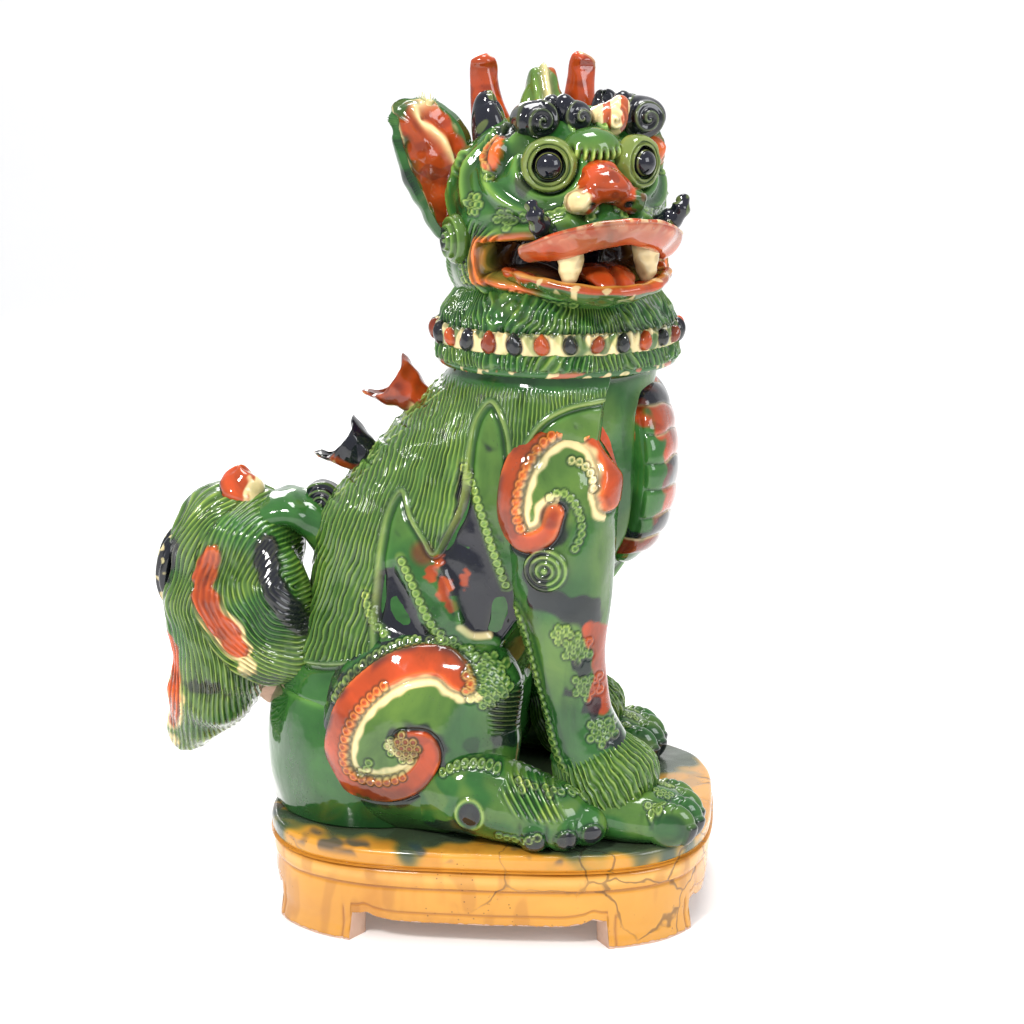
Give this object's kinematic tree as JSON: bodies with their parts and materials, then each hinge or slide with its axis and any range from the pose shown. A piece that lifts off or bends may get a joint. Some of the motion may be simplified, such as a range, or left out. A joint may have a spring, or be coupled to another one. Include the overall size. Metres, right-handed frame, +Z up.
{
  "type": "guardian lion figure",
  "caption": "Seated glazed stoneware guardian lion on an oval bracket-footed plinth, hollow, with a lift-off turning head and loose eyeballs.",
  "frame": {"origin": "middle of the overall box in plan, at the undersides of the plinth feet", "axes": "+Z up; the lion faces +X; its right flank faces -Y"},
  "size_m": [0.354, 0.2376, 0.5202],
  "materials": {
    "glaze_green": "glossy lead glaze",
    "glaze_leaf": "glossy lead glaze, thin over relief",
    "glaze_amber": "satin to glossy lead glaze",
    "glaze_orange": "glossy lead glaze",
    "glaze_black": "glossy lead glaze",
    "glaze_cream": "clear glaze over slip",
    "biscuit_clay": "unglazed, matt"
  },
  "bodies": {
    "figure": {"back_tuft_lower": "glaze_black", "back_tuft_small": "glaze_black", "back_tuft_upper": "glaze_orange", "chest_plates": "glaze_orange", "elbow_rosette_left": "glaze_leaf", "elbow_rosette_right": "glaze_leaf", "foreleg_left": "glaze_green", "foreleg_right": "glaze_green", "forepaw_left": "glaze_leaf", "forepaw_right": "glaze_leaf", "haunch_left": "glaze_green", "haunch_right": "glaze_green", "haunch_scroll_left": "glaze_orange", "haunch_scroll_right": "glaze_orange", "hind_foot_left": "glaze_leaf", "hind_foot_right": "glaze_leaf", "leg_fringe_left": "glaze_leaf", "leg_fringe_right": "glaze_leaf", "mane_cape_left": "glaze_green", "mane_cape_right": "glaze_green", "plinth_deck": "glaze_amber", "plinth_wall": "glaze_amber", "shoulder_scroll_left": "glaze_orange", "shoulder_scroll_right": "glaze_orange", "tail_edge_curl": "glaze_black", "tail_knob": "glaze_orange", "tail_plume": "glaze_leaf", "tail_prop": "biscuit_clay", "tail_root": "glaze_green", "torso": "glaze_green"},
    "spigot": {"neck_spigot": "biscuit_clay"},
    "head": {"brow_leaf_inner_left": "glaze_cream", "brow_leaf_inner_right": "glaze_black", "brow_leaf_outer_left": "glaze_black", "brow_leaf_outer_right": "glaze_black", "cheek_rosette_left": "glaze_leaf", "cheek_rosette_right": "glaze_leaf", "collar_bead_strap": "glaze_cream", "collar_ruff": "glaze_green", "crest_knob": "glaze_leaf", "ear_left": "glaze_green", "ear_right": "glaze_green", "eye_socket_left": "glaze_leaf", "eye_socket_right": "glaze_leaf", "fang_left": "glaze_cream", "fang_right": "glaze_cream", "forehead_boss": "glaze_green", "hair_lobe_left": "glaze_black", "hair_lobe_right": "glaze_black", "head_shell": "glaze_green", "horn_left": "glaze_orange", "horn_right": "glaze_orange", "lower_lip": "glaze_orange", "nose": "glaze_orange", "tongue": "glaze_orange", "upper_lip": "glaze_orange", "whisker_curl_left": "glaze_black", "whisker_curl_right": "glaze_black"},
    "eye_right": {"eyeball_right": "glaze_black"},
    "eye_left": {"eyeball_left": "glaze_black"}
  },
  "joints": [
    {"name": "head_lift", "type": "slide", "parent": "figure", "child": "spigot", "axis": [0, 0, 1], "range_m": [0, 0.08]},
    {"name": "head_turn", "type": "hinge", "parent": "spigot", "child": "head", "pos_m": [0.07731, 0, 0.352], "axis": [0, 0, 1], "continuous": true},
    {"name": "eye_right_roll", "type": "hinge", "parent": "head", "child": "eye_right", "pos_m": [0.07645, -0.06217, 0.46], "axis": [0, 0, 1], "range_deg": [-20, 20]},
    {"name": "eye_left_roll", "type": "hinge", "parent": "head", "child": "eye_left", "pos_m": [0.12812, -0.03584, 0.46], "axis": [0, 0, 1], "range_deg": [-20, 20]}
  ]
}
